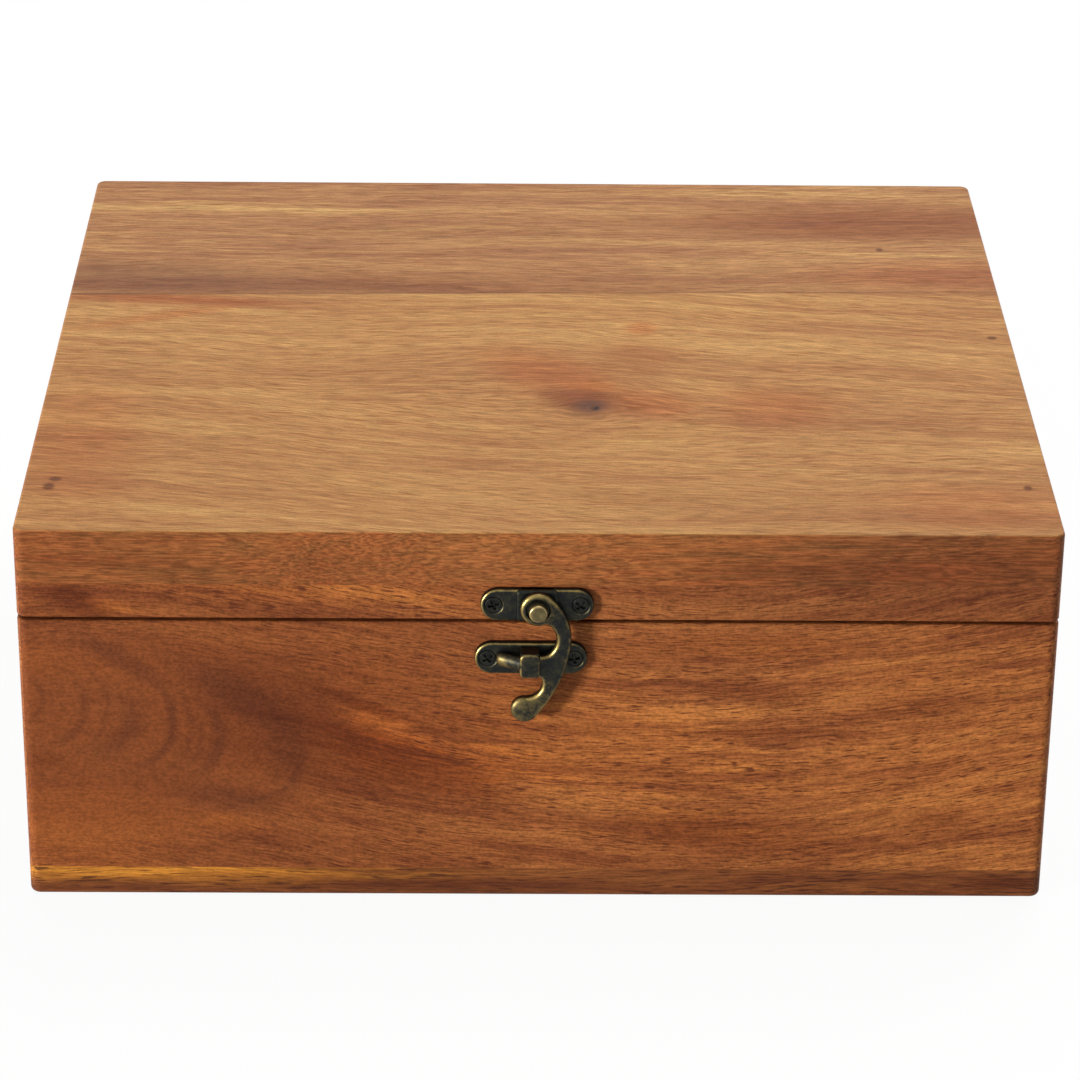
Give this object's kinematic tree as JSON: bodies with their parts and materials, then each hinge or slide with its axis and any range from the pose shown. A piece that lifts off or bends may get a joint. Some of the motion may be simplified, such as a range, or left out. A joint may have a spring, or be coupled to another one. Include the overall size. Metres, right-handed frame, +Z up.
{
  "type": "hinged lid wooden box",
  "caption": "Low rectangular wooden keepsake box with a hinged lid under a thick glued-up top, and an antique-bronze swing-hook latch at the front.",
  "frame": {"origin": "centre of the base's underside", "axes": "+Z up, +X to the right seen from the front, and the latch is on the front, which faces -Y"},
  "size_m": [0.25, 0.2401, 0.1],
  "materials": {
    "top_boards": "oiled satin, light golden brown",
    "side_boards": "oiled satin, reddish brown",
    "antique_bronze": "dark antique bronze, worn bright at the edges",
    "worn_brass": "antique bronze worn to brass",
    "screw_bronze": "dark antique bronze"
  },
  "bodies": {
    "base": {"bottom_board": "side_boards", "base_front_wall": "side_boards", "base_back_wall": "side_boards", "base_left_wall": "side_boards", "base_right_wall": "side_boards", "catch_plate": "antique_bronze", "catch_plate_screws": "screw_bronze", "left_hinge_base_leaf": "antique_bronze", "left_hinge_base_screws": "screw_bronze", "left_hinge_pin": "worn_brass", "right_hinge_base_leaf": "antique_bronze", "right_hinge_base_screws": "screw_bronze", "right_hinge_pin": "worn_brass"},
    "lid": {"lid_top_front_board": "top_boards", "lid_top_back_board": "top_boards", "lid_front_rail": "side_boards", "lid_back_rail": "side_boards", "lid_left_rail": "side_boards", "lid_right_rail": "side_boards", "latch_plate": "antique_bronze", "latch_plate_screws": "screw_bronze", "latch_pivot_rivet": "worn_brass", "left_hinge_lid_leaf": "antique_bronze", "left_hinge_lid_screws": "screw_bronze", "right_hinge_lid_leaf": "antique_bronze", "right_hinge_lid_screws": "screw_bronze"},
    "latch_hook": {"latch_swing_hook": "antique_bronze"}
  },
  "joints": [
    {"name": "lid_hinge", "type": "hinge", "parent": "base", "child": "lid", "pos_m": [0, 0.11675, 0.0765], "axis": [-1, 0, 0], "range_deg": [0, 180]},
    {"name": "latch_pivot", "type": "hinge", "parent": "lid", "child": "latch_hook", "pos_m": [-0.0002, -0.115, 0.0816], "axis": [0, -1, 0], "range_deg": [0, 180]}
  ]
}
